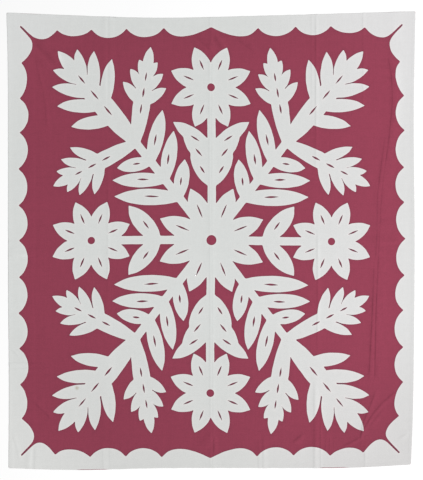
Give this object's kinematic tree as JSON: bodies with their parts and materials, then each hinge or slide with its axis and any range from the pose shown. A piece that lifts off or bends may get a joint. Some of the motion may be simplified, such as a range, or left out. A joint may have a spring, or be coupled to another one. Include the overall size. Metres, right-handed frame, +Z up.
{
  "type": "tifaifai quilt",
  "caption": "Large flat applique coverlet: white scalloped border and a white leaf-and-flower centre sewn on a red cotton ground.",
  "frame": {"origin": "on the surface it lies on, under the middle of the cloth", "axes": "+X to the right and +Y to the head end of the cloth seen face up, +Z up out of its face"},
  "size_m": [2.176, 2.4399, 0.0093],
  "materials": {
    "red_cotton": "matte plain-weave cotton, deep rose red",
    "white_cotton": "matte plain-weave cotton, white"
  },
  "bodies": {
    "root": {"ground_cloth": "red_cotton", "border_applique": "white_cotton", "centre_applique": "white_cotton"}
  },
  "joints": []
}
